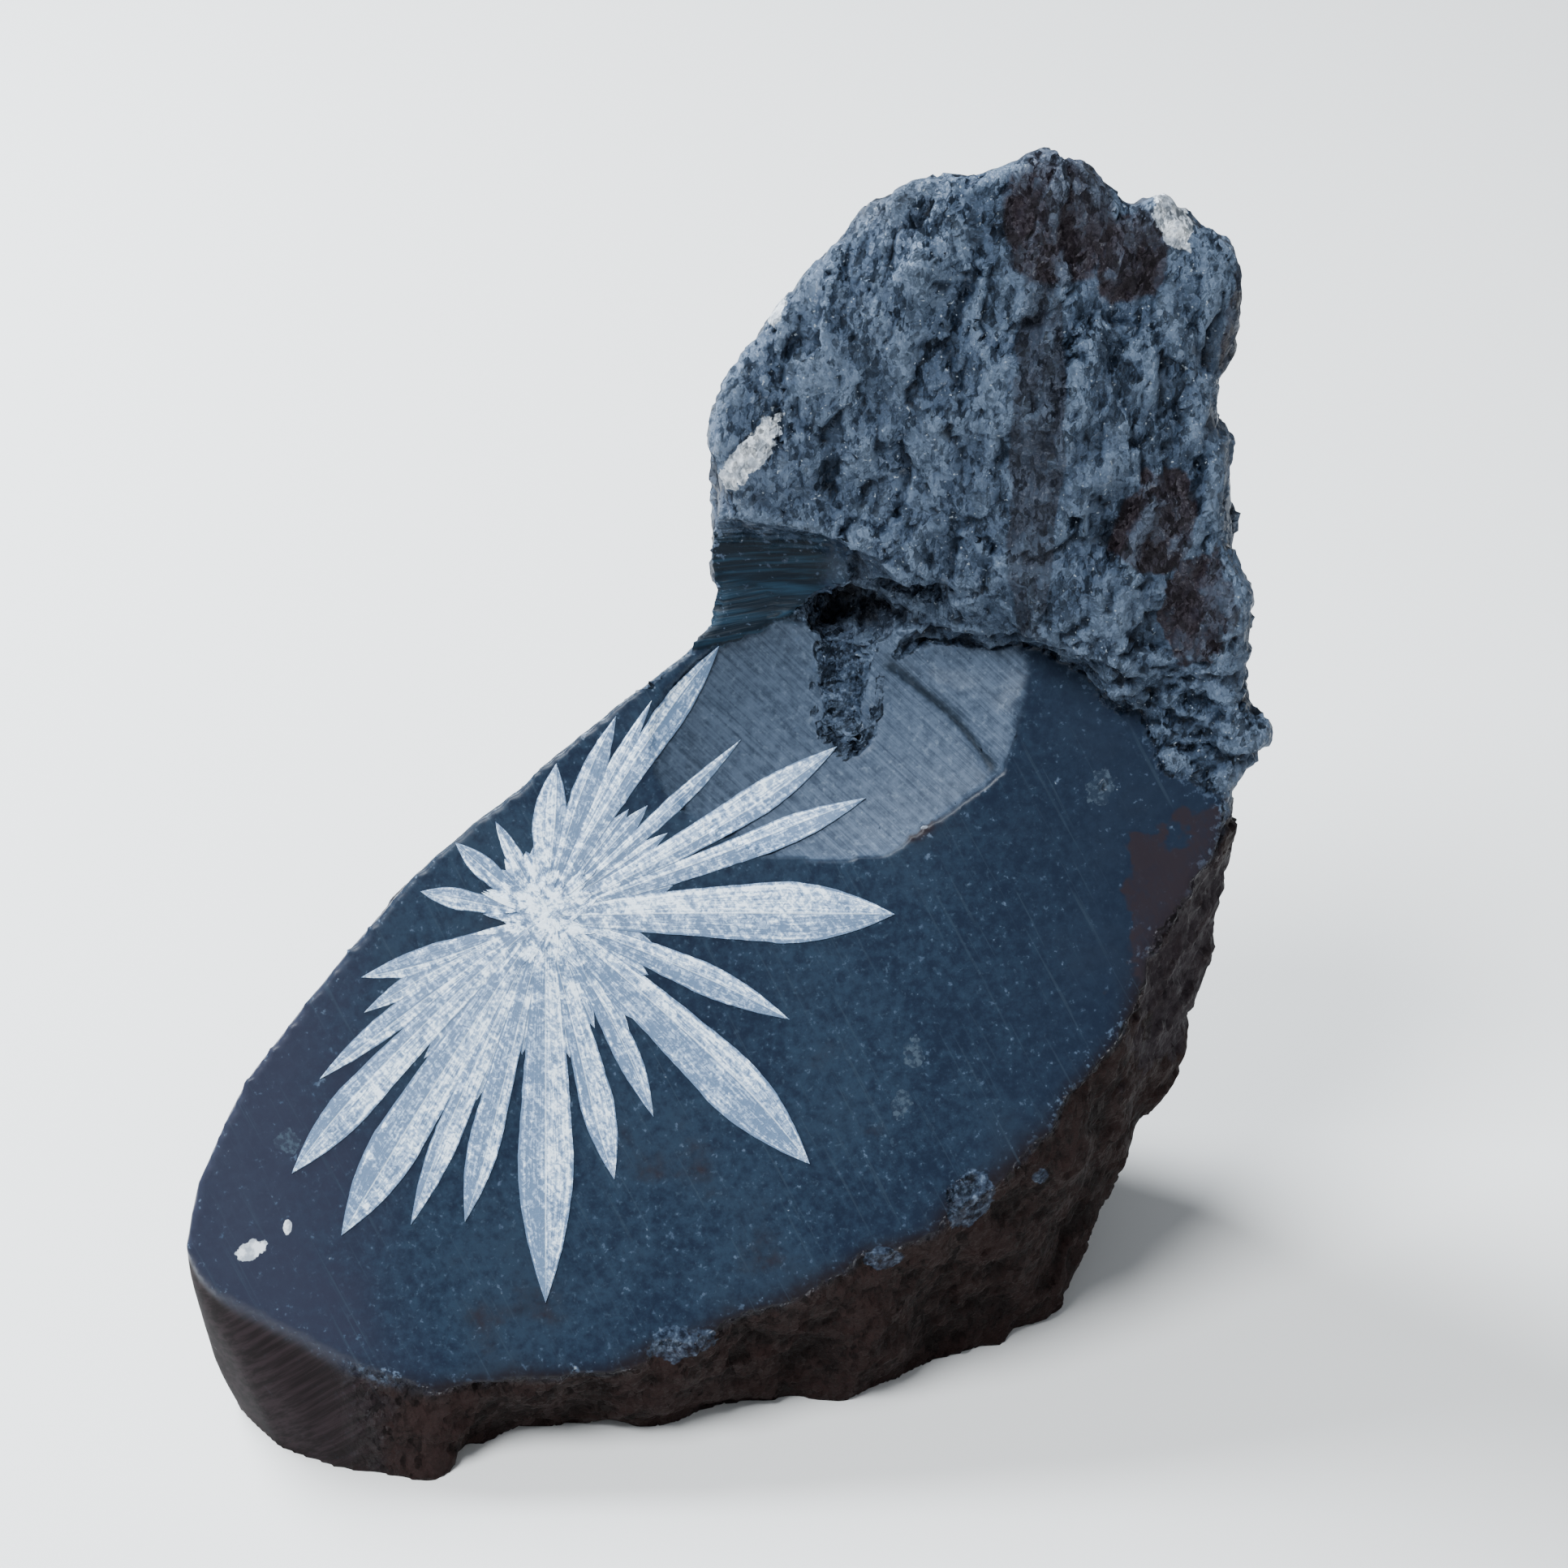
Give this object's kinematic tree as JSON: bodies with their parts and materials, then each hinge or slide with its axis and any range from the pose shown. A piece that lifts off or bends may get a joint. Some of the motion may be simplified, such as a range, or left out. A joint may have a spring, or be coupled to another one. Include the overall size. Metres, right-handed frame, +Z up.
{
  "type": "chrysanthemum stone",
  "caption": "Boot-shaped natural dark stone that rests on a flat foot, with a sloping polished face holding a radiating flower of pale crystals.",
  "frame": {"origin": "middle of the bounding box, on the ground plane that the flat foot rests on", "axes": "+Z up, along the tall leg; +Y runs from the sloping polished face to the back; +X to the side where the leg stands"},
  "size_m": [0.1158, 0.0727, 0.1322],
  "materials": {
    "stone": "dark limestone, polished on the sloping face, ground in the hollow, rough and broken elsewhere",
    "crystal_flower": "pale fibrous crystal, ground flush with the face"
  },
  "bodies": {
    "root": {"stone": "stone", "crystal_flower": "crystal_flower"}
  },
  "joints": []
}
